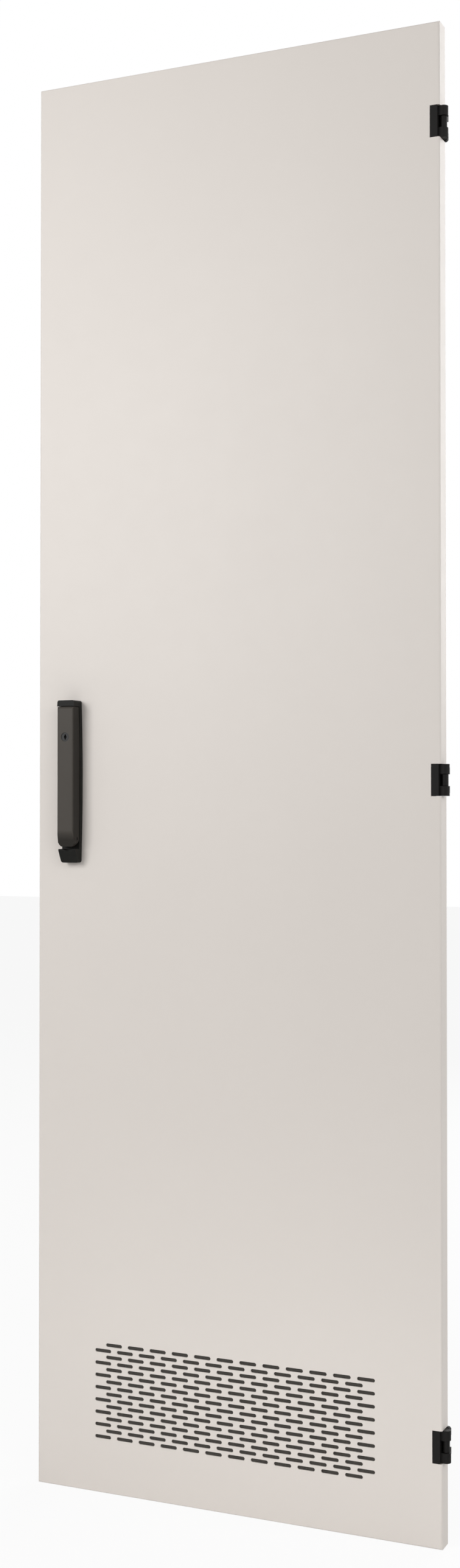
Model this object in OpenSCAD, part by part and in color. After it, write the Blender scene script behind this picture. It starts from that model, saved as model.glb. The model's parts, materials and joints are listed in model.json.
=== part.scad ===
// Vented enclosure door: a folded sheet-steel leaf with a slotted air inlet, a swing handle that drives
// two lock rods through a pinion, and three pin hinges let into the right edge.
// The front faces -Y. The frame's origin is below the middle of the whole door, level with its lower edge.
// Every module draws in leaf coordinates: X from the leaf's left edge, Y into the leaf from its front face,
// Z from its lower edge. in_frame() moves them to the origin.

/* [Door leaf] */
// Width of the leaf
door_w = 600; // [500:10:800]
// Height of the leaf
door_h = 2000; // [1700:50:2200]
// Depth of the folded returns
door_d = 25; // [25:1:30]
// Thickness of the sheet
sheet_t = 1.5; // [1:0.1:1.8]
// Outside radius of the bends round the front face
bend_r = 2.5; // [2.2:0.1:4]
// Width of the lips folded in along the back
lip_w = 32; // [32:1:36]

/* [Air inlet] */
// Width of the slotted field
vent_w = 416; // [212:2:440]
// Height of the slotted field
vent_h = 134; // [90:1:150]
// Height of the lowest slots above the leaf's lower edge
vent_up = 76; // [72:1:82]
// Length of one slot
slot_len = 25; // [16:1:27]
// Height of one slot
slot_h = 5; // [3:0.5:5.5]
// Distance between slots in one row
slot_pitch = 34; // [32:1:40]
// Distance between rows of slots
row_pitch = 8.6; // [7:0.2:12]
// Thickness of the filter mat
filter_t = 8; // [5:1:10]
// Wall of the filter frame
filter_wall = 1.5; // [1:0.5:2]
// Width of the bars that hold the filter mat
filter_bar = 5; // [3:1:8]

/* [Hinges] */
// Height of a hinge block
hinge_h = 42; // [40:1:50]
// Height of each ear of a hinge block
ear_h = 13; // [10:1:15]
// Radius of the ears round the pin
ear_r = 6; // [5.5:0.1:6.5]
// Radius of the cabinet leaf's knuckle
knuckle_r = 4.5; // [4.3:0.1:5.2]
// Radius of a hinge pin
hinge_pin_r = 2.5; // [2:0.1:3]
// Distance of the hinge axis outside the leaf's right edge
axis_out = 2.85; // [2.6:0.05:3.2]
// Distance of the hinge axis behind the leaf's front face
axis_back = 10; // [9:0.5:11]
// Width of a hinge block's body
block_w = 10; // [9:0.5:12]
// Distance from the leaf's ends to the middle of the outer hinges
hinge_end = 132; // [120:2:160]
// Thickness of the cabinet leaf's foot
foot_t = 6; // [4:0.5:8]
// Distance between the two fixing holes of a foot
foot_hole_pitch = 24; // [22:1:26]
// Radius of the fixing holes of a foot
foot_hole_r = 2.5; // [2:0.25:3]

/* [Handle] */
// Length of the handle
handle_len = 230; // [210:5:260]
// Width of the handle's base at its middle
handle_w = 30; // [29:0.5:32]
// Width of the handle's base at its ends
handle_end_w = 26.5; // [26:0.25:27.5]
// Height of the handle above the leaf
handle_proud = 26; // [25.5:0.5:28]
// Height of the low part of the base above the leaf
base_proud = 8.5; // [7.5:0.5:8.5]
// Distance of the handle's middle line from the leaf's left edge
handle_in = 56; // [54:1:66]
// Height of the spindle above the handle's lower end
spindle_up = 34; // [32:1:40]
// Thickness of the nose that holds the lock bolt at the handle's upper end
nose_t = 8; // [7:0.5:10]
// Distance of the lock below the handle's upper end
lock_down = 52; // [46:1:60]
// Radius of the lock plug
lock_r = 6.3; // [5.5:0.1:6.5]
// Width of the lever's flat front
lever_front_w = 25.6; // [24:0.2:26]
// Slope of the lever's sides
lever_draft = 5.5; // [3:0.5:7]
// Angle that the lever flips out by
flip_angle = 35; // [25:1:35]
// Radius of the lever's cross pin
lever_pin_r = 2; // [1.5:0.1:2.5]
// Thickness of the gasket below the handle
handle_gasket_t = 1; // [0.5:0.1:1.2]

/* [Gear and lock rods] */
// Module of the pinion and the racks
gear_module = 1.5; // [1.4:0.05:1.6]
// Teeth of the pinion, an even number
pinion_teeth = 16; // [16:2:18]
// Play between the teeth
tooth_play = 0.24; // [0.15:0.01:0.35]
// Thickness of the lock rods
rod_t = 4; // [3:0.5:5]
// Width of the lock rods behind their teeth
rod_w = 8; // [6:0.5:10]
// Half the height of the gear case
case_half_h = 34; // [33:0.5:38]
// Wall of the gear case and its cover
case_wall = 2; // [1.5:0.25:2.5]
// Radius of the rollers at the rod ends
roller_r = 6; // [5:0.5:7]
// Width of the rollers
roller_w = 8; // [6:0.5:10]
// Distance of the roller axes behind the leaf's front face
roller_back = 40; // [40:0.5:44]
// Distance from the leaf's ends to the roller axes
roller_end = 28; // [24:1:34]

/* [Frame and seal] */
// Side of the square frame tubes
tube_w = 20; // [16:1:20]
// Wall of the frame tubes
tube_t = 1.5; // [1:0.1:2]
// Distance between the holes of the frame tubes
hole_pitch = 25; // [20:5:50]
// Radius of the holes of the frame tubes
tube_hole_r = 3; // [2:0.25:4]
// Width of the gasket on the lips
gasket_w = 10; // [8:1:10]
// Thickness of the gasket on the lips
gasket_t = 4; // [3:0.5:4.5]
// Radius of the weld studs
stud_r = 2.5; // [2:0.25:2.5]
// Radius of the earthing stud
earth_r = 4; // [3:0.5:5]

/* [Hidden] */
$fn = 48;
eps = 0.01;
gap = 0.3;          // between pieces that move past each other
run = 0.05;         // running fit of a shaft in its bore, on the radius
seat = 0.02;        // close fit of a fixed piece, on the radius
stud_gap = 0.6;     // holes over the studs, on the radius

// frame
back_y = roller_back + roller_r + 1;
frame_x = -(door_w + axis_out + ear_r) / 2;
frame_y = (handle_proud - back_y) / 2;

// leaf and inlet
skin = sheet_t;                                  // inside of the front face
inner_r = max(bend_r - sheet_t, 0.2);
row_slots = floor((vent_w - slot_pitch / 2 - slot_len) / slot_pitch + 0.001) + 1;
rows = floor((vent_h - slot_h) / row_pitch + 0.001) + 1;
field_w = (row_slots - 1) * slot_pitch + slot_pitch / 2 + slot_len;
field_h = (rows - 1) * row_pitch + slot_h;
vent_x = (door_w - field_w) / 2;
mat_edge = 9;                                    // the mat reaches this far past the slots
mat_w = field_w + 2 * mat_edge;
mat_h = field_h + 2 * mat_edge;
tab_w = 13;                                      // tabs of the filter frame
tab_z = 22;                                      // tabs from the frame's upper and lower edges

// hinges
axis_x = door_w + axis_out;
block_left = -(axis_out + block_w + 3.15);       // left face of a block, from the pin
block_depth = door_d - 1;
notch_w = -block_left - axis_out + gap;
hinge_zs = [door_h - hinge_end, door_h / 2, hinge_end];
tail_w = 26;
tail_t = 4;
tail_h = 34;
tail_stud_z = 10;
foot_y = door_d - axis_back + 1;                 // front of the foot, from the pin
foot_w = 20;
foot_hole_in = 6;                                // holes of the foot from its left edge
foot_h = 38;
foot_waist = 4;                                  // depth of the notch at the foot's middle
arm_w = 3.5;

// handle
handle_z = door_h / 2 - handle_len / 2;
spindle_z = handle_z + spindle_up;
barrel_sag = (handle_w - handle_end_w) / 2;
barrel_r = (pow(handle_len / 2, 2) + pow(barrel_sag, 2)) / (2 * barrel_sag);
side_steps = 8;                                  // flats on each half of the handle's curved sides
middle_up = handle_len / 2 - spindle_up;         // handle's middle above the spindle
nose_r = handle_len - spindle_up - nose_t;       // inside of the nose, from the spindle
lever_reach = nose_r - 0.8;
lever_under = base_proud + 0.5;
tail_reach = half_width(middle_up, 0.5) + 0.4;   // the lever's lower end, from the spindle
block_down = tail_reach + 0.6;                   // upper end of the base's lower block, below the spindle
lever_pin_y = -lever_under - 6;
lug_r = 6;
lug_w = 10;
lug_room = lug_r + 0.6;
disc_r = 12;
disc_t = 4;
shaft_r = 6;
square_w = 8;
lock_z = handle_len - lock_down - spindle_up;    // lock above the spindle
hollow_end = 22;                                 // solid ends of the lever's hollow
crank_e = 2.5;
crank_r = 1.25;
bolt_w = 10;
bolt_t = 3;
plug_back = lever_under + bolt_t + 2.2;          // rear of the plug, in front of the leaf
bolt_front = plug_back - 0.5;                    // front of the bolt
screw_zs = [-24, 24, handle_len - spindle_up - 20];

// gear
pitch_r = gear_module * pinion_teeth / 2;
pitch = PI * gear_module;
stroke = pitch_r * PI / 2;
base_r = pitch_r * cos(20);
tip_r = pitch_r + gear_module;
root_r = pitch_r - 1.25 * gear_module;
rod_y = skin + 9.5;
rod_out = pitch_r + 1.25 * gear_module + rod_w;  // outer edge of a rod, from the spindle
rack_side = pitch_r + 1.25 * gear_module;        // toothless edge of a rod, from the spindle
case_back = rod_y + rod_t + 3.5;
case_half_w = rod_out + 7;
cover_back = case_back + case_wall;
hub_r = 7;
tongue_y = door_d + gasket_t + 3;
tongue_t = 4;
guide_zs = [door_h * 0.62, door_h * 0.85, door_h * 0.32, door_h * 0.16];

// frame of tubes and seal
rail_in = 55;                                    // right tube from the leaf's right edge
rail_left = handle_in + rod_out + 21;
rail_right = door_w - rail_in - tube_w;
rail_low = vent_up + vent_h + 21;
rail_high = door_h - lip_w - 18;
seal_in = lip_w - gasket_w - 2;
earth_root_r = earth_r + 0.5;                    // the stud's root, thickened by its weld
earth_len = 19;
earth_in = 42;                                   // stud from the leaf's right edge
earth_pos = [door_w - earth_in, hinge_end + tail_h / 2 + tab_z - tail_t];

module in_frame() translate([frame_x, frame_y, 0]) children();

// A flat outline in X and Z, from y0 to y1
module slab(y0, y1) translate([0, y1, 0]) rotate([90, 0, 0]) linear_extrude(y1 - y0) children();

// A side outline in Y and Z, from x0 to x1
module side_slab(x0, x1) translate([x0, 0, 0]) rotate([90, 0, 90]) linear_extrude(x1 - x0) children();

// A cylinder along Y, from y0 to y1
module bar_y(r, y0, y1) translate([0, y1, 0]) rotate([90, 0, 0]) cylinder(r = r, h = y1 - y0);

// ---- leaf ----

// Section of a tray: w wide, d deep, its two front corners rounded
module tray_section(w, d, r) {
    translate([0, r]) square([w, d - r]);
    translate([r, 0]) square([w - 2 * r, d]);
    for (x = [r, w - r]) translate([x, r]) circle(r);
}

// Block with all four front edges rounded
module tray_block(w, d, h, r) intersection() {
    linear_extrude(h) tray_section(w, d, r);
    translate([w, 0, 0]) rotate([0, -90, 0]) linear_extrude(w) tray_section(h, d, r);
}

module slot() {
    square([slot_len - slot_h, slot_h], center = true);
    for (s = [-1, 1]) translate([s * (slot_len - slot_h) / 2, 0]) circle(d = slot_h, $fn = 24);
}

// Rows of slots, each second row half a step to the right
module inlet_slots() translate([vent_x + slot_len / 2, 0, vent_up + slot_h / 2])
    for (row = [0:rows - 1], n = [0:row_slots - 1])
        translate([n * slot_pitch + (row % 2) * slot_pitch / 2, 0, row * row_pitch])
            slab(-1, skin + 1) slot();

module mitre_slits() for (x = [0, 1], z = [0, 1])
    translate([x * door_w, door_d, z * door_h]) rotate([0, 45 + 90 * (x + 3 * z - 2 * x * z), 0])
        translate([4, -sheet_t - 0.5, -0.4]) cube([lip_w * 1.6, sheet_t + 1, 0.8]);

module door_leaf() color([0.87, 0.85, 0.82]) difference() {
    tray_block(door_w, door_d, door_h, bend_r);
    translate([sheet_t, sheet_t, sheet_t])
        tray_block(door_w - 2 * sheet_t, door_d - 2 * sheet_t, door_h - 2 * sheet_t, inner_r);
    translate([lip_w, door_d / 2, lip_w]) cube([door_w - 2 * lip_w, door_d, door_h - 2 * lip_w]);
    mitre_slits();
    inlet_slots();
    for (z = hinge_zs) translate([door_w - notch_w, -1, z - hinge_h / 2 - gap])
        cube([notch_w + 1, door_d + 2, hinge_h + 2 * gap]);
    translate([handle_in, 0, spindle_z]) {
        bar_y(disc_r - 3, -1, skin + 1);
        for (z = screw_zs) translate([0, 0, z]) bar_y(4.7, -1, skin + 1);
    }
}

// ---- studs and nuts on the inside of the leaf ----

// Places of the studs, each as [x, z, thickness of what the nut holds]
function stud_places() = concat(
    [for (z = hinge_zs, s = [-1, 1]) [axis_x + block_left - 15, z + s * tail_stud_z, tail_t]],
    [for (i = [0:3]) [guide_stud_x(i), guide_zs[i], 2]],
    [for (s = [-1, 1], t = [0, 1]) [door_w / 2 + s * (mat_w / 2 + filter_wall + gap + tab_w / 2),
        vent_up + field_h / 2 + (2 * t - 1) * (mat_h / 2 - tab_z), filter_wall]]);

module weld_studs() color([0.72, 0.5, 0.3])
    for (p = stud_places()) translate([p[0], 0, p[1]]) {
        bar_y(stud_r, skin, skin + 12);
        bar_y(stud_r + 0.4, skin, skin + 0.6);
    }

module nut(af, h, bore) difference() {
    cylinder(d = af / cos(30), h = h, $fn = 6);
    translate([0, 0, -1]) cylinder(r = bore, h = h + 2);
}

module stud_nuts() color([0.75, 0.76, 0.78])
    for (p = stud_places()) translate([p[0], skin + p[2], p[1]]) rotate([-90, 0, 0]) {
        nut(8, 4, stud_r + seat);
        difference() {
            cylinder(r = 4.8, h = 0.8);
            translate([0, 0, -1]) cylinder(r = stud_r + seat, h = 3);
        }
    }

module earth_stud() color([0.8, 0.62, 0.3]) translate([earth_pos[0], 0, earth_pos[1]]) {
    bar_y(earth_r, skin, skin + earth_len);
    bar_y(earth_root_r, skin, skin + earth_r + 2.2);
    bar_y(earth_root_r + 1, skin, skin + 1);
}

module earth_nut() color([0.8, 0.68, 0.35]) translate([earth_pos[0], skin + 1, earth_pos[1]])
    rotate([-90, 0, 0]) nut(2 * earth_r + 5, earth_r + 1, earth_root_r + seat);

// ---- seal, frame and filter ----

module rounded_rect(x0, z0, x1, z1, r) {
    translate([x0 + r, z0]) square([x1 - x0 - 2 * r, z1 - z0]);
    translate([x0, z0 + r]) square([x1 - x0, z1 - z0 - 2 * r]);
    for (x = [x0 + r, x1 - r], z = [z0 + r, z1 - r]) translate([x, z]) circle(r);
}

module foam_gasket() color([0.12, 0.12, 0.12]) slab(door_d, door_d + gasket_t) difference() {
    rounded_rect(seal_in, seal_in, door_w - seal_in, door_h - seal_in, 14);
    rounded_rect(seal_in + gasket_w, seal_in + gasket_w,
        door_w - seal_in - gasket_w, door_h - seal_in - gasket_w, 4);
}

// Square tube of length len along Z with a row of holes in its back
module tube(len) difference() {
    cube([tube_w, tube_w, len]);
    translate([tube_t, tube_t, -1]) cube([tube_w - 2 * tube_t, tube_w - 2 * tube_t, len + 2]);
    holes = floor((len - 20) / hole_pitch);
    for (i = [0:holes]) translate([tube_w / 2, 0, (len - holes * hole_pitch) / 2 + i * hole_pitch])
        bar_y(tube_hole_r, tube_w - tube_t - 1, tube_w + 1);
}

module upright(x) color([0.78, 0.79, 0.8]) translate([x, skin, rail_low])
    tube(rail_high + tube_w - rail_low);

module crossbar(z) color([0.78, 0.79, 0.8]) translate([rail_left + tube_w, skin, z + tube_w])
    rotate([0, 90, 0]) tube(rail_right - rail_left - tube_w);

module left_rail() upright(rail_left);
module right_rail() upright(rail_right);
module top_rail() crossbar(rail_high);
module bottom_rail() crossbar(rail_low);

module in_inlet() translate([door_w / 2, 0, vent_up + field_h / 2]) children();

module filter_mat() color([0.2, 0.19, 0.18]) in_inlet()
    slab(skin + 0.2, skin + 0.2 + filter_t) square([mat_w, mat_h], center = true);

module filter_frame() color([0.6, 0.61, 0.62]) in_inlet() {
    pocket_w = mat_w + 2 * gap;
    pocket_h = mat_h + 2 * gap;
    back = skin + 0.4 + filter_t;
    cell_w = (mat_w - 6) / 6;
    cell_h = (mat_h - 6) / 2;
    difference() {
        slab(skin, back + filter_wall) square([pocket_w + 2 * filter_wall, pocket_h + 2 * filter_wall], center = true);
        slab(skin - 1, back) square([pocket_w, pocket_h], center = true);
        for (i = [0:5], k = [0:1])
            slab(back - 1, back + filter_wall + 1)
                translate([(i - 2.5) * cell_w, (k - 0.5) * cell_h])
                    square([cell_w - filter_bar, cell_h - filter_bar], center = true);
    }
    for (s = [-1, 1], t = [-1, 1]) difference() {
        slab(skin, skin + filter_wall) translate([s * (pocket_w / 2 + filter_wall + tab_w / 2 - eps), t * (mat_h / 2 - tab_z)])
            square([tab_w, 16], center = true);
        translate([s * (mat_w / 2 + filter_wall + gap + tab_w / 2), 0, t * (mat_h / 2 - tab_z)])
            bar_y(stud_r + stud_gap, skin - 1, skin + filter_wall + 1);
    }
}

// ---- hinges, drawn about the pin's middle ----

module at_hinge(i) translate([axis_x, axis_back, hinge_zs[i]]) children();

// Section of a block's body, its front corner rounded
module block_section() {
    r = 1.5;
    translate([block_left, r - axis_back]) square([block_w, block_depth - r]);
    translate([block_left + r, -axis_back]) square([block_w - r, r + 1]);
    translate([block_left + r, r - axis_back]) circle(r);
}

module ear_section() {
    circle(ear_r);
    translate([block_left + 1, -ear_r]) square([-block_left - 1, 2 * ear_r]);
}

module hinge_block() color([0.06, 0.06, 0.06]) difference() {
    union() {
        translate([0, 0, -hinge_h / 2]) linear_extrude(hinge_h) block_section();
        for (z = [-hinge_h / 2, hinge_h / 2 - ear_h]) translate([0, 0, z]) linear_extrude(ear_h) ear_section();
        translate([block_left - tail_w, skin - axis_back, -tail_h / 2]) cube([tail_w + 1, tail_t, tail_h]);
    }
    translate([0, 0, -hinge_h]) cylinder(r = hinge_pin_r + seat, h = 2 * hinge_h);
    for (s = [-1, 1]) translate([block_left - 15, 0, s * tail_stud_z])
        bar_y(stud_r + stud_gap, -axis_back, skin - axis_back + tail_t + 1);
}

module hinge_pin() color([0.7, 0.7, 0.72]) translate([0, 0, -hinge_h / 2 + 0.25])
    cylinder(r = hinge_pin_r, h = hinge_h - 0.5);

// Plate screwed to the cabinet, notched beside the knuckle up to height half
module foot_outline(half) difference() {
    translate([-foot_w, -foot_h / 2]) square([foot_w, foot_h]);
    translate([-foot_waist, -half]) square([foot_waist + 1, 2 * half]);
    for (t = [0, 1]) mirror([0, t]) for (x = [-foot_w, 0]) translate([x, foot_h / 2]) rotate(45)
        square(3, center = true);
}

module hinge_leaf() color([0.08, 0.08, 0.08]) difference() {
    half = hinge_h / 2 - ear_h - gap;
    union() {
        translate([0, 0, -half]) cylinder(r = knuckle_r, h = 2 * half);
        translate([-knuckle_r, 0, -half]) cube([arm_w, foot_y + 1, 2 * half]);
        slab(foot_y, foot_y + foot_t) foot_outline(half);
    }
    translate([0, 0, -hinge_h]) cylinder(r = hinge_pin_r + run, h = 2 * hinge_h);
    for (s = [-1, 1]) translate([foot_hole_in - foot_w, 0, s * foot_hole_pitch / 2])
        bar_y(foot_hole_r, foot_y - 1, foot_y + foot_t + 1);
}

module upper_hinge_block() at_hinge(0) hinge_block();
module middle_hinge_block() at_hinge(1) hinge_block();
module lower_hinge_block() at_hinge(2) hinge_block();
module upper_hinge_pin() at_hinge(0) hinge_pin();
module middle_hinge_pin() at_hinge(1) hinge_pin();
module lower_hinge_pin() at_hinge(2) hinge_pin();
module upper_hinge_leaf() at_hinge(0) hinge_leaf();
module middle_hinge_leaf() at_hinge(1) hinge_leaf();
module lower_hinge_leaf() at_hinge(2) hinge_leaf();

// ---- handle, drawn about the spindle ----

module at_spindle() translate([handle_in, 0, spindle_z]) children();

// Half-width of the barrel shape at height z from the handle's middle, inset by cut
function half_width(z, cut) = handle_w / 2 - cut - barrel_r + sqrt(barrel_r * barrel_r - z * z);

// Outline of the handle: slightly wider at its middle, with rounded corners
module barrel(cut) translate([0, middle_up]) {
    r = 3;
    end = handle_len / 2 - cut;
    corner_x = half_width(end - r, cut) - r;
    heights = [for (i = [-side_steps:side_steps]) (end - r) * i / side_steps];
    polygon(concat([for (z = heights) [half_width(z, cut), z]], [for (z = heights) [-half_width(z, cut), -z]]));
    square([2 * corner_x, 2 * end], center = true);
    for (s = [-1, 1], t = [-1, 1]) translate([s * corner_x, t * (end - r)]) circle(r);
}

module screw_holes(r, y0, y1) for (z = screw_zs) translate([0, 0, z]) bar_y(r, y0, y1);

// Side view of the base: low between two raised ends, the lower end sloping down
module base_side() polygon([
    [-handle_gasket_t, -spindle_up - 1], [-handle_gasket_t, handle_len], [-handle_proud + 3, handle_len],
    [-handle_proud + 1.5, nose_r - 2], [-base_proud, nose_r - 3],
    [-base_proud, -block_down], [-handle_proud + 6, -block_down],
    [-handle_proud + 6, -spindle_up / 2], [-base_proud - 3, -spindle_up - 1]]);

module handle_base() color([0.1, 0.1, 0.1]) at_spindle() difference() {
    intersection() {
        slab(-handle_proud, 0) barrel(0);
        side_slab(-handle_w, handle_w) base_side();
    }
    // swept room of the lever
    difference() {
        bar_y(nose_r, -handle_proud - 1, -base_proud, $fn = 360);
        translate([-handle_w, -handle_proud - 2, -handle_len]) cube([2 * handle_w, handle_proud, handle_len]);
    }
    bar_y(disc_r + 4.5, -handle_proud - 1, -base_proud);
    bar_y(disc_r + run, -base_proud - 1, -base_proud + disc_t);
    bar_y(shaft_r + run, -base_proud, 1);
    screw_holes(stud_r + seat, -base_proud + 2.5, 1);
    translate([-bolt_w / 2 - gap, -bolt_front - gap, nose_r - 2])
        cube([bolt_w + 2 * gap, bolt_t + 2 * gap, 6.5]);
}

module handle_gasket() color([0.15, 0.15, 0.15]) at_spindle() slab(-handle_gasket_t, 0) difference() {
    barrel(0.5);
    circle(disc_r - 3);
    for (z = screw_zs) translate([0, z]) circle(4.7);
}

module handle_screws() color([0.75, 0.76, 0.78]) at_spindle() for (z = screw_zs) translate([0, 0, z]) {
    low = abs(z) < case_half_h ? skin + case_wall : skin;
    bar_y(stud_r, -base_proud + 3, low + 1);
    difference() {
        bar_y(4.6, low, low + 3.2);
        translate([0, low + 1.6, 0]) rotate([-90, 0, 0]) cylinder(d = 4.6, h = 3, $fn = 6);
    }
    if (low == skin) bar_y(7, low, low + 1);
}

module spindle() color([0.7, 0.7, 0.72]) at_spindle() difference() {
    union() {
        bar_y(disc_r, -base_proud, -base_proud + disc_t - gap);
        bar_y(shaft_r, -base_proud + 1, skin + case_wall);
        translate([-square_w / 2, skin, -square_w / 2]) cube([square_w, tongue_y + tongue_t - skin, square_w]);
        translate([-lug_w / 2, lever_pin_y, -lug_r]) cube([lug_w, -base_proud + 1 - lever_pin_y, 2 * lug_r]);
        translate([-lug_w / 2, lever_pin_y, 0]) rotate([0, 90, 0]) cylinder(r = lug_r, h = lug_w);
    }
    translate([-lug_w, lever_pin_y, 0]) rotate([0, 90, 0]) cylinder(r = lever_pin_r + seat, h = 2 * lug_w);
    bar_y(stud_r + seat, tongue_y + tongue_t - 12, tongue_y + tongue_t + 1);
}

module lever_pin() color([0.7, 0.7, 0.72]) at_spindle() translate([-handle_w / 2 + 2, lever_pin_y, 0])
    rotate([0, 90, 0]) cylinder(r = lever_pin_r, h = handle_w - 4);

// Section of the lever: a flat front with rounded edges and sides that widen towards the leaf
module lever_section() {
    r = 2.2;
    x = lever_front_w / 2 - r;
    y = r - handle_proud;
    edge = [for (i = [0:5]) let (a = -90 + (90 - lever_draft) * i / 5) [x + r * cos(a), y + r * sin(a)]];
    foot_x = edge[5][0] - tan(lever_draft) * edge[5][1];
    polygon(concat(edge, [[foot_x, 0], [-foot_x, 0]], [for (i = [5:-1:0]) [-edge[i][0], edge[i][1]]]));
}

// Side view of the lever, as y and z from the spindle's axis
module lever_side() {
    tail = -11;
    under = -lever_pin_y - lever_under;
    turn_z = (under * cos(flip_angle) - under) / sin(flip_angle);
    tail_y = lever_pin_y + (under + tail * sin(flip_angle)) / cos(flip_angle);
    polygon([[-lever_under, lever_reach + 1], [-lever_under, turn_z], [tail_y, tail],
        [-handle_proud + 5, tail], [-handle_proud, 12], [-handle_proud, lever_reach - 3],
        [-handle_proud + 3, lever_reach + 1]]);
}

module lever() color([0.31, 0.3, 0.28]) at_spindle() difference() {
    intersection() {
        slab(-handle_proud, -base_proud) intersection() {
            barrel(0.5);
            circle(lever_reach, $fn = 360);
            union() {
                circle(tail_reach);
                translate([-handle_w, 0]) square([2 * handle_w, handle_len]);
            }
        }
        translate([0, 0, -handle_len]) linear_extrude(2 * handle_len) lever_section();
        side_slab(-handle_w, handle_w) lever_side();
    }
    // room for the lug, open towards the tail
    translate([-lug_w / 2 - gap, lever_pin_y, 0]) {
        rotate([0, 90, 0]) cylinder(r = lug_room, h = lug_w + 2 * gap);
        translate([0, 0, -tail_reach]) cube([lug_w + 2 * gap, 10, tail_reach + lug_room + 1.4]);
        translate([0, -lug_room * sin(flip_angle), -tail_reach]) cube([lug_w + 2 * gap, 10, tail_reach]);
    }
    translate([-handle_w, lever_pin_y, 0]) rotate([0, 90, 0]) cylinder(r = lever_pin_r + run, h = 2 * handle_w);
    // lock bore, bolt channel and hollow underside
    translate([0, 0, lock_z]) bar_y(lock_r + run, -handle_proud - 1, -plug_back + 0.2);
    translate([-bolt_w / 2 - gap, -plug_back, lock_z - 10])
        cube([bolt_w + 2 * gap, plug_back, lever_reach]);
    translate([-9, -handle_proud + 4, hollow_end]) cube([18, handle_proud, lock_z - 2 * hollow_end - 2]);
}

module lock_plug() color([0.55, 0.55, 0.56]) at_spindle() translate([0, 0, lock_z]) difference() {
    union() {
        bar_y(lock_r, -handle_proud + 0.8, -plug_back);
        translate([-crank_e * cos(45), 0, -crank_e * sin(45)]) bar_y(crank_r, -plug_back - 1, -lever_under - 0.6);
    }
    translate([-1, -handle_proud, -3.6]) cube([2, 7, 7.2]);
    bar_y(2, -handle_proud, -handle_proud + 4);
}

module lock_bolt() color([0.6, 0.6, 0.62]) at_spindle() {
    low = lock_z - crank_e - crank_r - 4;
    difference() {
        translate([-bolt_w / 2, -bolt_front, low]) cube([bolt_w, bolt_t, lever_reach - 0.6 - low]);
        translate([0, 0, lock_z - crank_e * sin(45)]) slab(-bolt_front - 1, 0)
            square([2 * (crank_e + crank_r + gap), 2 * (crank_r + gap)], center = true);
    }
}

// ---- gear ----

function involute(a) = tan(a) * 180 / PI - a;

// Half the angle of a pinion tooth at radius r
function tooth_half(r) = 90 / pinion_teeth - tooth_play / 4 / pitch_r * 180 / PI
    + involute(20) - involute(r > base_r ? acos(base_r / r) : 0);

function polar(r, a) = [r * cos(a), r * sin(a)];

module pinion_outline() {
    radii = concat([root_r], [for (i = [0:4]) base_r + (tip_r - base_r) * i / 4]);
    n = len(radii);
    polygon([for (k = [0:pinion_teeth - 1], i = [0:2 * n - 1])
        i < n ? polar(radii[i], k * 360 / pinion_teeth - tooth_half(radii[i]))
            : polar(radii[2 * n - 1 - i], k * 360 / pinion_teeth + tooth_half(radii[2 * n - 1 - i]))]);
}

module pinion() color([0.5, 0.5, 0.52]) at_spindle() difference() {
    union() {
        slab(rod_y - 0.5, rod_y + rod_t + 0.5) pinion_outline();
        bar_y(hub_r, skin + gap, tongue_y);
    }
    translate([-square_w / 2 - seat, 0, -square_w / 2 - seat])
        cube([square_w + 2 * seat, tongue_y + 1, square_w + 2 * seat]);
    bar_y(shaft_r + 0.4, 0, skin + case_wall + gap);
}

// Rack teeth that point to -X, with tooth spaces centred on z = 0
module rack(first, last) for (k = [first:last]) translate([0, (k + 0.5) * pitch]) {
    half = pitch / 4 - tooth_play / 4;
    top = 0.95 * gear_module;
    low = 1.25 * gear_module;
    polygon([[pitch_r + low + eps, -half - low * tan(20)], [pitch_r - top, -half + top * tan(20)],
        [pitch_r - top, half - top * tan(20)], [pitch_r + low + eps, half + low * tan(20)]]);
}

// Side plate that carries a rod's roller: y and z from the rod's plane, up to the roller's height
module roller_arm(height) {
    low = height - arm_len;
    difference() {
        union() {
            polygon([[rod_y, low], [rod_y, low + 16], [roller_back - 7, height],
                [roller_back + 7, height], [roller_back + 7, height - 6], [rod_y + rod_t, low]]);
            translate([roller_back, height]) circle(7);
        }
        translate([roller_back, height]) circle(3 + seat);
    }
}

// A lock rod, its teeth to -X: from the gear up to the roller's arm
module rod(height, first, last) {
    slab(rod_y, rod_y + rod_t) {
        translate([rack_side, -9.4]) square([rod_w, height - arm_len + 21.4]);
        rack(first, last);
    }
    side_slab(rack_side, rack_side + rod_t) roller_arm(height);
}

upper_height = door_h - roller_end - spindle_z;
lower_height = spindle_z - roller_end;
rack_last = ceil((stroke + 7) / pitch);
arm_len = 62;                                    // height of a roller's arm

module upper_rod() color([0.68, 0.69, 0.7]) at_spindle() rod(upper_height, -2, rack_last - 1);
module lower_rod() color([0.68, 0.69, 0.7]) at_spindle() rotate([0, 180, 0]) rod(lower_height, -2, rack_last - 1);

module roller() translate([rack_side + rod_t + gap, roller_back, 0]) rotate([0, 90, 0]) difference() {
    union() {
        cylinder(r = roller_r - 0.6, h = roller_w);
        translate([0, 0, 1]) cylinder(r = roller_r, h = roller_w - 2);
    }
    translate([0, 0, -1]) cylinder(r = 3 + run, h = roller_w + 2);
}

module roller_pin() translate([rack_side - 1.5, roller_back, 0]) rotate([0, 90, 0]) {
    cylinder(r = 4.5, h = 1.5);
    cylinder(r = 3, h = rod_t + roller_w + 2 * gap + 1.5);
    translate([0, 0, rod_t + roller_w + 2 * gap + 1.5]) cylinder(r = 4, h = 1.2);
}

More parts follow.
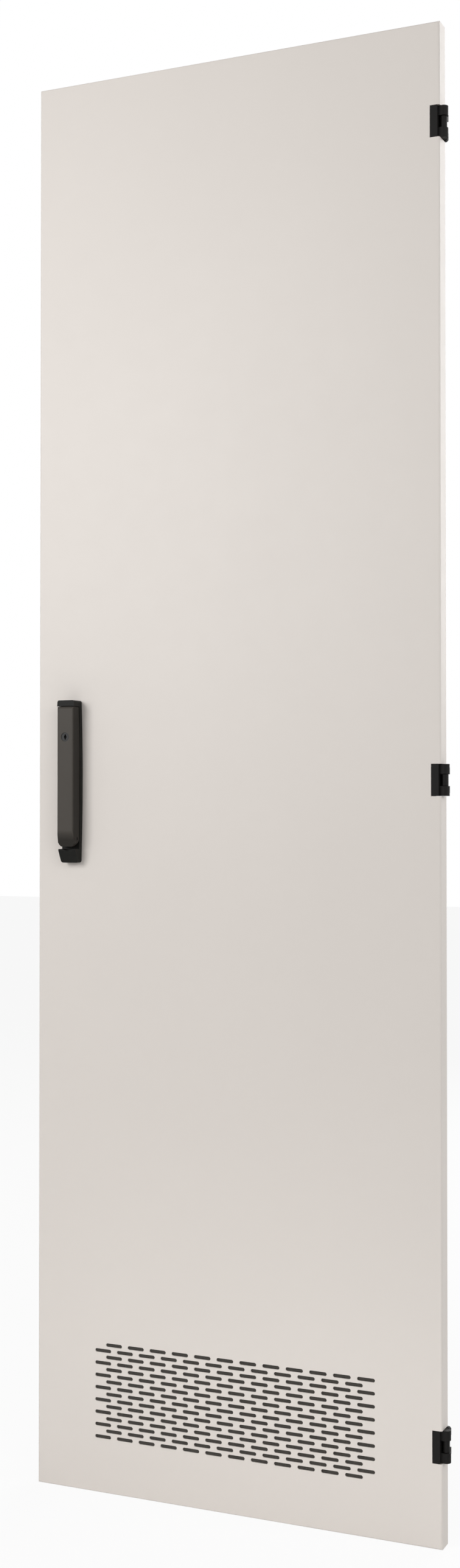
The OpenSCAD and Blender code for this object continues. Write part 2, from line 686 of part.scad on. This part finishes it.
module upper_roller() color([0.14, 0.14, 0.15]) at_spindle() translate([0, 0, upper_height]) roller();
module lower_roller() color([0.14, 0.14, 0.15]) at_spindle() rotate([0, 180, 0])
    translate([0, 0, lower_height]) roller();
module upper_roller_pin() color([0.7, 0.7, 0.72]) at_spindle() translate([0, 0, upper_height]) roller_pin();
module lower_roller_pin() color([0.7, 0.7, 0.72]) at_spindle() rotate([0, 180, 0])
    translate([0, 0, lower_height]) roller_pin();

module gear_case() color([0.62, 0.63, 0.65]) at_spindle() difference() {
    slab(skin, case_back) rounded_rect(-case_half_w, -case_half_h, case_half_w, case_half_h, 3);
    slab(skin + case_wall, case_back + 1)
        square([2 * (rod_out + gap), 2 * (case_half_h - case_wall)], center = true);
    bar_y(hub_r + run, 0, case_back);
    screw_holes(stud_r + 0.2, 0, case_back);
    for (s = [0, 180]) rotate([0, s, 0]) translate([pitch_r - gear_module - gap, rod_y - gap, 0])
        cube([rod_w + 2.25 * gear_module + 2 * gap, rod_t + 2 * gap, case_half_h + 1]);
    for (x = [-1, 1], z = [-1, 1]) translate([x * (case_half_w - 3.4), 0, z * (case_half_h - 4)])
        bar_y(1.5 + seat, case_back - 8, case_back + 1);
}

module gear_cover() color([0.66, 0.67, 0.69]) at_spindle() difference() {
    slab(case_back, cover_back) rounded_rect(-case_half_w, -case_half_h, case_half_w, case_half_h, 3);
    bar_y(hub_r + run, case_back - 1, cover_back + 1);
    for (x = [-1, 1], z = [-1, 1]) translate([x * (case_half_w - 3.4), 0, z * (case_half_h - 4)])
        bar_y(1.7, case_back - 1, cover_back + 1);
}

module cover_screws() color([0.78, 0.79, 0.8]) at_spindle()
    for (x = [-1, 1], z = [-1, 1]) translate([x * (case_half_w - 3.4), 0, z * (case_half_h - 4)]) {
        bar_y(1.5, case_back - 7, cover_back + 0.5);
        bar_y(2.8, cover_back, cover_back + 1.6);
    }

// Stud of guide i: the first two hold the upper rod, the others the lower rod
function guide_stud_x(i) = handle_in + 9 + (i < 2 ? rod_out : -rack_side);

// Bracket round a rod at x from x0 to x1, its foot to the right
module guide(x0, x1) difference() {
    union() {
        slab(skin, rod_y + rod_t + gap + 2) translate([x0 - gap - 2, -7]) square([x1 - x0 + 2 * gap + 4, 14]);
        slab(skin, skin + 2) translate([x0 - gap - 2, -7]) square([x1 - x0 + 2 * gap + 4 + 14, 14]);
    }
    translate([x0 - gap, rod_y - gap, -8]) cube([x1 - x0 + 2 * gap, rod_t + 2 * gap, 16]);
    translate([x0 + 1, skin + 2, -8]) cube([x1 - x0 - 2, rod_y - skin - gap - 4, 16]);
    translate([x1 + 9, 0, 0]) bar_y(stud_r + stud_gap, skin - 1, skin + 3);
}

module rod_guides() color([0.12, 0.12, 0.13]) translate([handle_in, 0, 0]) {
    for (i = [0, 1]) translate([0, 0, guide_zs[i]]) guide(rack_side, rod_out);
    for (i = [2, 3]) translate([0, 0, guide_zs[i]]) guide(-rod_out, -rack_side);
}

module latch_tongue() color([0.7, 0.7, 0.72]) at_spindle() difference() {
    slab(tongue_y, tongue_y + tongue_t) {
        translate([-handle_in + 19, -8]) square([handle_in - 19 + 2, 16]);
        translate([-handle_in + 19, 0]) circle(8);
        circle(10);
    }
    translate([-handle_in + 6, tongue_y - 2, -12]) rotate([0, 0, -14]) cube([18, 4, 2 * 12]);
    translate([-square_w / 2 - seat, tongue_y - 1, -square_w / 2 - seat])
        cube([square_w + 2 * seat, tongue_t + 2, square_w + 2 * seat]);
}

module spindle_screw() color([0.78, 0.79, 0.8]) at_spindle() {
    end = tongue_y + tongue_t;
    bar_y(8, end, end + 1.2);
    bar_y(4.2, end + 1, end + 4.2);
    bar_y(stud_r, end - 10, end + 1);
}

in_frame() door_leaf();
in_frame() weld_studs();
in_frame() stud_nuts();
in_frame() foam_gasket();
in_frame() left_rail();
in_frame() right_rail();
in_frame() top_rail();
in_frame() bottom_rail();
in_frame() filter_mat();
in_frame() filter_frame();
in_frame() upper_hinge_block();
in_frame() middle_hinge_block();
in_frame() lower_hinge_block();
in_frame() upper_hinge_pin();
in_frame() middle_hinge_pin();
in_frame() lower_hinge_pin();
in_frame() upper_hinge_leaf();
in_frame() middle_hinge_leaf();
in_frame() lower_hinge_leaf();
in_frame() handle_base();
in_frame() handle_gasket();
in_frame() handle_screws();
in_frame() spindle();
in_frame() lever();
in_frame() lever_pin();
in_frame() lock_plug();
in_frame() lock_bolt();
in_frame() gear_case();
in_frame() gear_cover();
in_frame() cover_screws();
in_frame() pinion();
in_frame() upper_rod();
in_frame() lower_rod();
in_frame() rod_guides();
in_frame() upper_roller();
in_frame() lower_roller();
in_frame() upper_roller_pin();
in_frame() lower_roller_pin();
in_frame() latch_tongue();
in_frame() spindle_screw();
in_frame() earth_stud();
in_frame() earth_nut();
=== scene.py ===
import json
import math

import bmesh
import bpy
import numpy as np
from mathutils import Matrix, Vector


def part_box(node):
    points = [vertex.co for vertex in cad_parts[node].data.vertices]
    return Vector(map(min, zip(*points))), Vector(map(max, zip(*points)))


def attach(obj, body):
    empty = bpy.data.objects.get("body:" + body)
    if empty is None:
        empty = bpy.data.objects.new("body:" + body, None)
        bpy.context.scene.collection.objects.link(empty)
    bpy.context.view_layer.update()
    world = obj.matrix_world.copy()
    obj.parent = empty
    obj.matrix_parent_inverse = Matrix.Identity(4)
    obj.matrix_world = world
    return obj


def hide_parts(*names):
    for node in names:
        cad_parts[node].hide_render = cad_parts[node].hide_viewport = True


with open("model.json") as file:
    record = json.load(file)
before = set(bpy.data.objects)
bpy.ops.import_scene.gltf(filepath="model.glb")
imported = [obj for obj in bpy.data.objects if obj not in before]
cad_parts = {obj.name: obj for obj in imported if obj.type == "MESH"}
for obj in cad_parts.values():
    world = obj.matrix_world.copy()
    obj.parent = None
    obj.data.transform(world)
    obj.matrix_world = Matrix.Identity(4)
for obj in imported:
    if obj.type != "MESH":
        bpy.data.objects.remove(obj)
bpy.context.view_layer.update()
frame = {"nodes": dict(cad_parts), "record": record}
mm = 0.001
white = (1, 1, 1, 1)
print("frame loaded")


# ---- helpers ----

def gridMesh(name, rows, closedU=False, closedV=False, capEnds=False, places=((0, 0, 0),)):
    # a surface through a grid of points, (nu, nv, 3): each cell becomes one four-sided face,
    # and the whole is repeated at each of the places
    nu, nv = rows.shape[:2]
    index = np.arange(nu * nv).reshape(nu, nv)
    if closedU:
        index = np.vstack([index, index[:1]])
    if closedV:
        index = np.hstack([index, index[:, :1]])
    quads = np.stack([index[:-1, :-1], index[1:, :-1], index[1:, 1:], index[:-1, 1:]], -1).reshape(-1, 4)
    faces = quads.tolist()
    if capEnds:
        faces += [index[0, :nv].tolist(), index[nu - 1, :nv][::-1].tolist()]
    places = np.array(places, float)
    points = (places[:, None, :] + rows.reshape(1, -1, 3)).reshape(-1, 3)
    faces = [[corner + copy * nu * nv for corner in face] for copy in range(len(places)) for face in faces]
    mesh = bpy.data.meshes.new(name)
    mesh.from_pydata(points.tolist(), [], faces)
    return makeObject(name, mesh)


def makeObject(name, mesh):
    mesh.validate()
    mesh.shade_smooth()
    piece = bpy.data.objects.new(name, mesh)
    bpy.context.scene.collection.objects.link(piece)
    return piece


def turnOutwards(piece):
    # all faces look out of the closed surface
    work = bmesh.new()
    work.from_mesh(piece.data)
    bmesh.ops.recalc_face_normals(work, faces=work.faces)
    work.to_mesh(piece.data)
    work.free()


def finishPiece(piece, material, body, replaced=()):
    piece.data.materials.clear()
    piece.data.materials.append(material)
    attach(piece, body)
    if replaced:
        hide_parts(*replaced)


edgeRules = {"weldDistance": 0.002 * mm, "segments": 2, "sharpFrom": 32, "leafSharpFrom": 40,
             "normalWeight": 80}


def softenEdges(nodeName, width, sharpFrom=edgeRules["sharpFrom"]):
    # welds a CAD node's loose triangles, rounds its sharp edges and smooths what is left of its curves
    node = frame["nodes"][nodeName]
    node.data.shade_smooth()
    weld = node.modifiers.new("weld", "WELD")
    weld.merge_threshold = edgeRules["weldDistance"]
    if width > 0:
        bevel = node.modifiers.new("edges", "BEVEL")
        bevel.width = width
        bevel.segments = edgeRules["segments"]
        bevel.limit_method = "ANGLE"
        bevel.angle_limit = math.radians(sharpFrom)
    else:
        split = node.modifiers.new("shading", "EDGE_SPLIT")
        split.split_angle = math.radians(sharpFrom)
    weighted = node.modifiers.new("flatFaces", "WEIGHTED_NORMAL")
    weighted.keep_sharp = True
    weighted.weight = edgeRules["normalWeight"]


# ---- materials ----

class Finish:
    # one material under construction: keeps its nodes and joins sockets by name

    def __init__(self, name, colour, roughness, metallic=0.0, gloss=0.5):
        self.material = bpy.data.materials.new(name)
        self.material.use_nodes = True
        self.nodes = self.material.node_tree.nodes
        self.links = self.material.node_tree.links
        self.shader = self.nodes["Principled BSDF"]
        self.shader.inputs["Base Color"].default_value = (*colour, 1)
        self.shader.inputs["Roughness"].default_value = roughness
        self.shader.inputs["Metallic"].default_value = metallic
        self.shader.inputs["Specular IOR Level"].default_value = gloss
        self.colour = colour
        self.place = self.nodes.new("ShaderNodeTexCoord").outputs["Object"]

    def noise(self, scale, detail=3.0, roughness=0.5, stretch=None):
        node = self.nodes.new("ShaderNodeTexNoise")
        node.inputs["Scale"].default_value = scale
        node.inputs["Detail"].default_value = detail
        node.inputs["Roughness"].default_value = roughness
        self.links.new(self.stretched(stretch), node.inputs["Vector"])
        return node.outputs["Fac"]

    def cells(self, scale, output="Distance", stretch=None):
        node = self.nodes.new("ShaderNodeTexVoronoi")
        node.inputs["Scale"].default_value = scale
        self.links.new(self.stretched(stretch), node.inputs["Vector"])
        return node.outputs[output]

    def stretched(self, stretch):
        if stretch is None:
            return self.place
        node = self.nodes.new("ShaderNodeMapping")
        node.inputs["Scale"].default_value = stretch
        self.links.new(self.place, node.inputs["Vector"])
        return node.outputs["Vector"]

    def ramp(self, source, low, high, start=0.0, end=1.0):
        node = self.nodes.new("ShaderNodeMapRange")
        self.links.new(source, node.inputs["Value"])
        for key, value in (("From Min", start), ("From Max", end), ("To Min", low), ("To Max", high)):
            node.inputs[key].default_value = value
        return node.outputs["Result"]

    def shade(self, source, low, high):
        # multiplies the base colour by a factor that runs from low to high with source
        node = self.nodes.new("ShaderNodeMix")
        node.data_type = "RGBA"
        node.inputs[6].default_value = (*(channel * low for channel in self.colour), 1)
        node.inputs[7].default_value = (*(min(channel * high, 1) for channel in self.colour), 1)
        self.links.new(source, node.inputs["Factor"])
        self.links.new(node.outputs[2], self.shader.inputs["Base Color"])

    def rough(self, source, low, high):
        self.links.new(self.ramp(source, low, high), self.shader.inputs["Roughness"])

    def bump(self, source, depth, strength=1.0):
        node = self.nodes.new("ShaderNodeBump")
        node.inputs["Distance"].default_value = depth
        node.inputs["Strength"].default_value = strength
        self.links.new(source, node.inputs["Height"])
        old = self.shader.inputs["Normal"].links
        if old:
            self.links.new(old[0].from_socket, node.inputs["Normal"])
        self.links.new(node.outputs["Normal"], self.shader.inputs["Normal"])


def powderCoat(name, colour, grain, depth, roughness, gloss=0.4):
    # baked powder paint: even colour with a fine orange-peel skin
    finish = Finish(name, colour, roughness, gloss=gloss)
    finish.shade(finish.noise(5.0, 2.0), 0.985, 1.015)
    finish.rough(finish.noise(40.0, 3.0), roughness - 0.04, roughness + 0.05)
    finish.bump(finish.noise(grain, 2.0), depth)
    return finish.material


def platedSteel(name, colour, roughness, stretch=(1, 1, 1)):
    # zinc-plated or drawn steel: soft cloudy sheen with fine marks along the metal
    finish = Finish(name, colour, roughness, metallic=1.0)
    finish.shade(finish.noise(90.0, 4.0, stretch=stretch), 0.8, 1.12)
    finish.rough(finish.noise(420.0, 4.0, stretch=stretch), roughness - 0.1, roughness + 0.14)
    finish.bump(finish.noise(900.0, 3.0, stretch=stretch), 0.00004)
    return finish.material


# the lever's own grey, and a near-black copy of it that is painted shade on the lever's sides
handleTonesWithSideShade = {"front": (0.060, 0.053, 0.045), "side": (0.020, 0.0175, 0.0145), "sideShadeDepth": 3.0 * mm}


def handlePaintWithSideShade():
    # dark grey paint on the lever's front, with painted shade that runs to near black on its sides:
    # the painted shade follows the depth behind the front face
    paint = powderCoat("handleGreyWithPaintedSideShade", handleTonesWithSideShade["front"], 1500.0, 0.00006, 0.5, gloss=0.2)
    nodes, links = paint.node_tree.nodes, paint.node_tree.links
    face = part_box("lever")[0][1]
    place = nodes.new("ShaderNodeTexCoord")
    split = nodes.new("ShaderNodeSeparateXYZ")
    depth = nodes.new("ShaderNodeMapRange")
    depth.inputs["From Min"].default_value = face
    depth.inputs["From Max"].default_value = face + handleTonesWithSideShade["sideShadeDepth"]
    mix = nodes.new("ShaderNodeMix")
    mix.data_type = "RGBA"
    # the near-black side tone is painted shade
    mix.inputs[7].default_value = (*handleTonesWithSideShade["side"], 1)
    shader = nodes["Principled BSDF"]
    links.new(place.outputs["Object"], split.inputs["Vector"])
    links.new(split.outputs["Y"], depth.inputs["Value"])
    links.new(depth.outputs["Result"], mix.inputs["Factor"])
    links.new(shader.inputs["Base Color"].links[0].from_socket, mix.inputs[6])
    links.new(mix.outputs[2], shader.inputs["Base Color"])
    return paint


def galvanisedSheet(name, colour):
    # hot-dip zinc: crystals a few millimetres wide that catch the light differently
    finish = Finish(name, colour, 0.45, metallic=1.0)
    finish.shade(finish.ramp(finish.cells(160.0, "Color"), 0.0, 1.0), 0.72, 1.1)
    finish.rough(finish.cells(160.0, "Color"), 0.34, 0.58)
    finish.bump(finish.noise(600.0, 3.0), 0.00003)
    return finish.material


def mouldedPlastic(name, colour, roughness, grain=1400.0, gloss=0.25):
    # plastic with a spark-eroded mould texture
    finish = Finish(name, colour, roughness, gloss=gloss)
    finish.shade(finish.noise(30.0, 3.0), 0.86, 1.14)
    finish.rough(finish.noise(grain, 2.0), roughness - 0.08, roughness + 0.1)
    finish.bump(finish.noise(grain, 3.0), 0.00006)
    return finish.material


def foamedSeal(name, colour):
    # foam with a closed skin and tiny pores
    finish = Finish(name, colour, 0.85)
    finish.shade(finish.noise(300.0, 4.0), 0.7, 1.35)
    finish.bump(finish.cells(1100.0), 0.00018)
    finish.bump(finish.noise(240.0, 3.0), 0.0003, 0.6)
    return finish.material


def fibreFleece(name, colour):
    # loose filter fleece: long thin fibres that cross at random
    finish = Finish(name, colour, 0.95)
    fibres = finish.noise(700.0, 5.0, 0.7, stretch=(0.12, 1, 1))
    across = finish.noise(700.0, 5.0, 0.7, stretch=(1, 1, 0.12))
    both = finish.nodes.new("ShaderNodeMath")
    both.operation = "MAXIMUM"
    finish.links.new(fibres, both.inputs[0])
    finish.links.new(across, both.inputs[1])
    finish.shade(both.outputs[0], 0.35, 1.7)
    finish.bump(both.outputs[0], 0.0012)
    finish.shader.inputs["Sheen Weight"].default_value = 0.25
    return finish.material


def castMetal(name, colour, roughness):
    finish = Finish(name, colour, roughness, metallic=0.9)
    finish.shade(finish.noise(60.0, 4.0), 0.85, 1.1)
    finish.bump(finish.noise(500.0, 4.0), 0.00012)
    return finish.material


finishes = {
    "powder_coat": powderCoat("powderCoatLightGrey", (0.72, 0.672, 0.628), 850.0, 0.00005, 0.46),
    # the lever's grey carries painted shade on its sides
    "handle_grey": handlePaintWithSideShade(),
    "handle_black": mouldedPlastic("handleBaseBlack", (0.007, 0.007, 0.006), 0.55, gloss=0.18),
    "hinge_black": powderCoat("hingeBlack", (0.0065, 0.006, 0.0055), 1300.0, 0.00006, 0.55, gloss=0.15),
    "black_plastic": mouldedPlastic("guidePlastic", (0.018, 0.018, 0.019), 0.45),
    "zinc_plated": platedSteel("zincPlate", (0.62, 0.64, 0.68), 0.34, stretch=(1, 1, 0.2)),
    "bright_steel": platedSteel("drawnSteel", (0.56, 0.56, 0.58), 0.28, stretch=(1, 1, 0.15)),
    "lock_black": powderCoat("lockBlack", (0.009, 0.009, 0.009), 1500.0, 0.00003, 0.4, gloss=0.3),
    "blackened_steel": powderCoat("blackenedSteel", (0.012, 0.011, 0.010), 1500.0, 0.00002, 0.42, gloss=0.2),
    "coppered_steel": platedSteel("copperFlash", (0.66, 0.40, 0.26), 0.38),
    "brass_nut": platedSteel("plainBrass", (0.72, 0.52, 0.22), 0.3),
    "galvanised": galvanisedSheet("galvanisedSheet", (0.60, 0.62, 0.64)),
    "die_cast": castMetal("dieCastZinc", (0.42, 0.43, 0.45), 0.5),
    "foam": foamedSeal("foamedSeal", (0.022, 0.022, 0.023)),
    "filter_fleece": fibreFleece("filterFleece", (0.042, 0.037, 0.031)),
}
for entry in frame["record"]["subparts"]:
    node = frame["nodes"][entry["node"]]
    node.data.materials.clear()
    node.data.materials.append(finishes[entry["material_slot"]])
# the pins and the spindle whose ends show at the front are blackened
for name in ("upper_hinge_pin", "middle_hinge_pin", "lower_hinge_pin", "lever_pin", "spindle"):
    frame["nodes"][name].data.materials[0] = finishes["blackened_steel"]
print("finishes made:", len(finishes))


# ---- edges of the CAD pieces ----

edgeWidths = {
    "lever": 0.9, "handle_base": 0.7, "spindle": 0.3, "lock_plug": 0.25, "latch_tongue": 0.4,
    "gear_case": 0.5, "gear_cover": 0.3, "upper_rod": 0.25, "lower_rod": 0.25,
    "upper_roller": 0.3, "lower_roller": 0.3, "upper_roller_pin": 0.3, "lower_roller_pin": 0.3,
    "handle_screws": 0.3, "cover_screws": 0.3, "spindle_screw": 0.3, "stud_nuts": 0.25, "earth_nut": 0.4,
    "left_rail": 0, "right_rail": 0, "top_rail": 0, "bottom_rail": 0, "filter_frame": 0.3,
    "rod_guides": 0.4, "lock_bolt": 0.2, "lever_pin": 0.2, "handle_gasket": 0, "earth_stud": 0.3, "pinion": 0,
}
for level in ("upper", "middle", "lower"):
    edgeWidths[level + "_hinge_block"] = 0.6
    edgeWidths[level + "_hinge_leaf"] = 0.5
    edgeWidths[level + "_hinge_pin"] = 0.3
for name, width in edgeWidths.items():
    softenEdges(name, width * mm)
softenEdges("door_leaf", 0.0, sharpFrom=edgeRules["leafSharpFrom"])
print("edges softened:", len(edgeWidths))


# ---- foamed seal ----

sealBead = {
    "width": 10 * mm, "corner": 12 * mm, "sideSlack": 0.2 * mm, "topSlack": 0.15 * mm, "fullness": 0.8,
    "waviness": 0.12 * mm, "waves": (41, 97), "profilePoints": 14, "cornerPoints": 12, "sidePoints": 90,
}


def sealSurface():
    # a half-round bead along a rounded rectangle: the offset across and the height above the lip follow
    # one half-ellipse, and both swell a little with slow sines of the way along the path
    low, high = (np.array(corner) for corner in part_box("foam_gasket"))
    width = sealBead["width"]
    height = high[1] - low[1]
    radius = sealBead["corner"]
    left, right = low[0] + width / 2 + radius, high[0] - width / 2 - radius
    bottom, top = low[2] + width / 2 + radius, high[2] - width / 2 - radius
    turn = np.linspace(0, math.pi / 2, sealBead["cornerPoints"])
    corners = []
    for quarter, (cx, cz) in enumerate([(right, top), (left, top), (left, bottom), (right, bottom)]):
        angle = turn + quarter * math.pi / 2
        corners.append(np.stack([cx + radius * np.cos(angle), cz + radius * np.sin(angle)], -1))
    path = []
    for k in range(4):
        path.append(corners[k])
        start, end = corners[k][-1], corners[(k + 1) % 4][0]
        steps = np.linspace(0, 1, sealBead["sidePoints"] + 2)[1:-1, None]
        path.append(start + (end - start) * steps)
    path = np.vstack(path)
    ahead = np.roll(path, -1, 0) - np.roll(path, 1, 0)
    ahead /= np.linalg.norm(ahead, axis=1, keepdims=True)
    across = np.stack([ahead[:, 1], -ahead[:, 0]], -1)
    length = np.cumsum(np.linalg.norm(path - np.roll(path, 1, 0), axis=1))
    slow, fast = sealBead["waves"]
    swell = np.sin(length * slow) * np.sin(length * fast + 1) * sealBead["waviness"]
    around = np.linspace(0, math.pi, sealBead["profilePoints"])
    side = np.cos(around)[None, :] * (width / 2 - sealBead["sideSlack"] + swell[:, None])
    rise = np.sin(around)[None, :] ** sealBead["fullness"] * (height - sealBead["topSlack"] + swell[:, None])
    x = path[:, :1] + across[:, :1] * side
    z = path[:, 1:] + across[:, 1:] * side
    return np.stack([x, low[1] + rise, z], -1)


seal = gridMesh("foamSeal", sealSurface(), closedU=True, closedV=True)
turnOutwards(seal)
finishPiece(seal, finishes["foam"], "door", ["foam_gasket"])
print("seal made")


# ---- filter mat ----

matShape = {"columns": 150, "rows": 52, "lift": 0.5 * mm, "round": 3.0 * mm, "roundShare": 0.8, "fill": 0.6}


def matSurface(front):
    # one face of the mat: a flat grid that rises and falls by a few sines and rounds off towards its rim
    low, high = (np.array(corner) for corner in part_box("filter_mat"))
    x, z = np.meshgrid(np.linspace(low[0], high[0], matShape["columns"]),
                       np.linspace(low[2], high[2], matShape["rows"]), indexing="ij")
    wave = np.sin(x * 151 + 2 * np.sin(z * 83)) * np.sin(z * 173 + 1.7 * np.sin(x * 67))
    wave += 0.5 * np.sin(x * 389 + z * 271) * np.sin(z * 431 - x * 97)
    rim = np.minimum(np.minimum(x - low[0], high[0] - x), np.minimum(z - low[2], high[2] - z))
    rounding = np.clip(1 - rim / matShape["round"], 0, 1) ** 2 * matShape["round"] * matShape["roundShare"]
    dip = matShape["lift"] * (1 + wave / 1.5) / 2 + rounding
    y = low[1] + dip if front else high[1] - dip
    return np.stack([x, y, z], -1)


matFront, matBack = matSurface(True), matSurface(False)
matRows = np.concatenate([matFront, matBack[:, ::-1]], axis=1)
filterMat = gridMesh("filterMat", matRows, closedV=True, capEnds=True)
turnOutwards(filterMat)
finishPiece(filterMat, finishes["filter_fleece"], "door", ["filter_mat"])
print("filter mat made")


# ---- threads of the weld studs and the earthing stud ----

studThreads = {
    "weld_studs": {"piece": "weldStuds", "radius": 2.5 * mm, "pitch": 0.8 * mm, "depth": 0.42 * mm,
                   "root": 0.6 * mm, "rootRadius": 2.9 * mm},
    "earth_stud": {"piece": "earthStud", "radius": 4.0 * mm, "pitch": 1.25 * mm, "depth": 0.65 * mm,
                   "root": 6.2 * mm, "rootRadius": 4.5 * mm},
}
threadGrid = {"stepsPerTurn": 6, "around": 28, "slack": 0.03 * mm, "chamfer": 0.9}
tipSearch = {"behind": 0.05 * mm, "apart": 12 * mm}


def tipCentres(nodeName):
    # middles of the flat ends at a node's back: its rearmost points, gathered stud by stud
    mesh = frame["nodes"][nodeName].data
    points = np.empty(len(mesh.vertices) * 3)
    mesh.vertices.foreach_get("co", points)
    points = points.reshape(-1, 3)
    tips = points[points[:, 1] > points[:, 1].max() - tipSearch["behind"]]
    centres = []
    while len(tips):
        near = np.linalg.norm(tips - tips[0], axis=1) < tipSearch["apart"]
        centres.append((tips[near].min(0) + tips[near].max(0)) / 2)
        tips = tips[~near]
    return np.array(centres)


def threadSurface(length, thread):
    # a rod along Y whose radius falls by a triangle wave of (way along - pitch * turn); its root is plain
    # and its tip is chamfered. It ends at y = 0
    steps = int(length / thread["pitch"] * threadGrid["stepsPerTurn"])
    around = threadGrid["around"]
    along, turn = np.meshgrid(np.linspace(0, length, steps + 1), np.arange(around) / around, indexing="ij")
    phase = (along / thread["pitch"] - turn) % 1
    fromTip = length - along
    radius = thread["radius"] - threadGrid["slack"] - thread["depth"] * (1 - np.abs(2 * phase - 1))
    radius = np.minimum(radius, thread["radius"] - threadGrid["chamfer"] * thread["pitch"] + fromTip)
    radius = np.where(along < thread["root"], thread["rootRadius"], radius)
    angle = turn * 2 * math.pi
    return np.stack([radius * np.cos(angle), along - length, radius * np.sin(angle)], -1)


for nodeName, thread in studThreads.items():
    low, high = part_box(nodeName)
    studs = gridMesh(thread["piece"], threadSurface(high[1] - low[1], thread), closedV=True, capEnds=True,
                     places=tipCentres(nodeName))
    turnOutwards(studs)
    finishPiece(studs, finishes["coppered_steel"], "door", [nodeName])
print("threads made")


# ---- floor, light and camera ----

floorLook = {"halfSize": 14.0, "colour": (0.86, 0.86, 0.86, 1), "roughness": 0.9, "glow": 0.9}


def makeFloor():
    # pale and matt, with its own glow towards the camera over the shadow that it keeps
    size = floorLook["halfSize"]
    mesh = bpy.data.meshes.new("floor")
    corners = [(-size, -size, 0), (size, -size, 0), (size, size, 0), (-size, size, 0)]
    mesh.from_pydata(corners, [], [(0, 1, 2, 3)])
    floor = bpy.data.objects.new("floor", mesh)
    bpy.context.scene.collection.objects.link(floor)
    material = bpy.data.materials.new("paleFloor")
    material.use_nodes = True
    nodes, links = material.node_tree.nodes, material.node_tree.links
    shader = nodes["Principled BSDF"]
    shader.inputs["Base Color"].default_value = floorLook["colour"]
    shader.inputs["Roughness"].default_value = floorLook["roughness"]
    glow = nodes.new("ShaderNodeEmission")
    glow.inputs["Color"].default_value = white
    light = nodes.new("ShaderNodeLightPath")
    amount = nodes.new("ShaderNodeMath")
    amount.operation = "MULTIPLY"
    amount.inputs[1].default_value = floorLook["glow"]
    mix = nodes.new("ShaderNodeMixShader")
    links.new(light.outputs["Is Camera Ray"], amount.inputs[0])
    links.new(amount.outputs[0], mix.inputs["Fac"])
    links.new(shader.outputs[0], mix.inputs[1])
    links.new(glow.outputs[0], mix.inputs[2])
    links.new(mix.outputs[0], nodes["Material Output"].inputs["Surface"])
    mesh.materials.append(material)


def makeWorld(strength):
    # white to the camera and in reflections, dimmer as a light
    world = bpy.data.worlds.new("studio")
    bpy.context.scene.world = world
    world.use_nodes = True
    nodes, links = world.node_tree.nodes, world.node_tree.links
    nodes.clear()
    seen, lit = nodes.new("ShaderNodeBackground"), nodes.new("ShaderNodeBackground")
    for shade in (seen, lit):
        shade.inputs["Color"].default_value = white
    seen.inputs["Strength"].default_value = 1.0
    lit.inputs["Strength"].default_value = strength
    path = nodes.new("ShaderNodeLightPath")
    both, anyOfThree = nodes.new("ShaderNodeMath"), nodes.new("ShaderNodeMath")
    both.operation = anyOfThree.operation = "MAXIMUM"
    mix, out = nodes.new("ShaderNodeMixShader"), nodes.new("ShaderNodeOutputWorld")
    links.new(path.outputs["Is Camera Ray"], both.inputs[0])
    links.new(path.outputs["Is Glossy Ray"], both.inputs[1])
    links.new(both.outputs[0], anyOfThree.inputs[0])
    links.new(path.outputs["Is Transmission Ray"], anyOfThree.inputs[1])
    links.new(anyOfThree.outputs[0], mix.inputs["Fac"])
    links.new(lit.outputs[0], mix.inputs[1])
    links.new(seen.outputs[0], mix.inputs[2])
    links.new(mix.outputs[0], out.inputs["Surface"])


def softbox(name, place, target, size, power):
    lamp = bpy.data.lights.new(name, "AREA")
    lamp.shape = "RECTANGLE"
    lamp.size, lamp.size_y = size
    lamp.energy = power
    box = bpy.data.objects.new(name, lamp)
    box.location = place
    box.rotation_euler = (Vector(target) - Vector(place)).to_track_quat("-Z", "Y").to_euler()
    bpy.context.scene.collection.objects.link(box)


def makeCamera():
    # stands to the right of the door at half its height, turned left
    view = {"place": (1.0006, -2.3125, 0.972), "turn": 23.6, "rise": 1.0, "sensor": 36.0, "lens": 42.0233,
            "shift": -0.0093168}
    data = bpy.data.cameras.new("camera")
    data.sensor_width = view["sensor"]
    data.lens = view["lens"]
    data.shift_y = view["shift"]
    camera = bpy.data.objects.new("camera", data)
    camera.location = view["place"]
    camera.rotation_euler = (math.radians(90 + view["rise"]), 0, math.radians(view["turn"]))
    bpy.context.scene.collection.objects.link(camera)
    bpy.context.scene.camera = camera


worldStrength = 0.3
lamps = {
    "keyLight": {"place": (-1.05, -1.95, 1.78), "target": (-0.15, 0, 1.6), "size": (1.1, 1.2), "power": 28},
    "fillLight": {"place": (3.0, -2.6, 2.6), "target": (0, 0, 1.7), "size": (2.0, 1.4), "power": 29},
    "sideLight": {"place": (2.4, 0.2, 1.5), "target": (0.3, 0, 1.4), "size": (0.5, 1.4), "power": 13},
    "footLight": {"place": (0.05, -0.6, 0.06), "target": (0, 0, 0.05), "size": (1.1, 0.1), "power": 0.95},
    "backLight": {"place": (0.5, 3.2, 2.4), "target": (0, 0, 1.0), "size": (2.6, 2.4), "power": 60},
}
makeFloor()
makeWorld(worldStrength)
for name, lamp in lamps.items():
    softbox(name, **lamp)
makeCamera()
bpy.context.scene.view_settings.view_transform = "Standard"
print("stage ready")
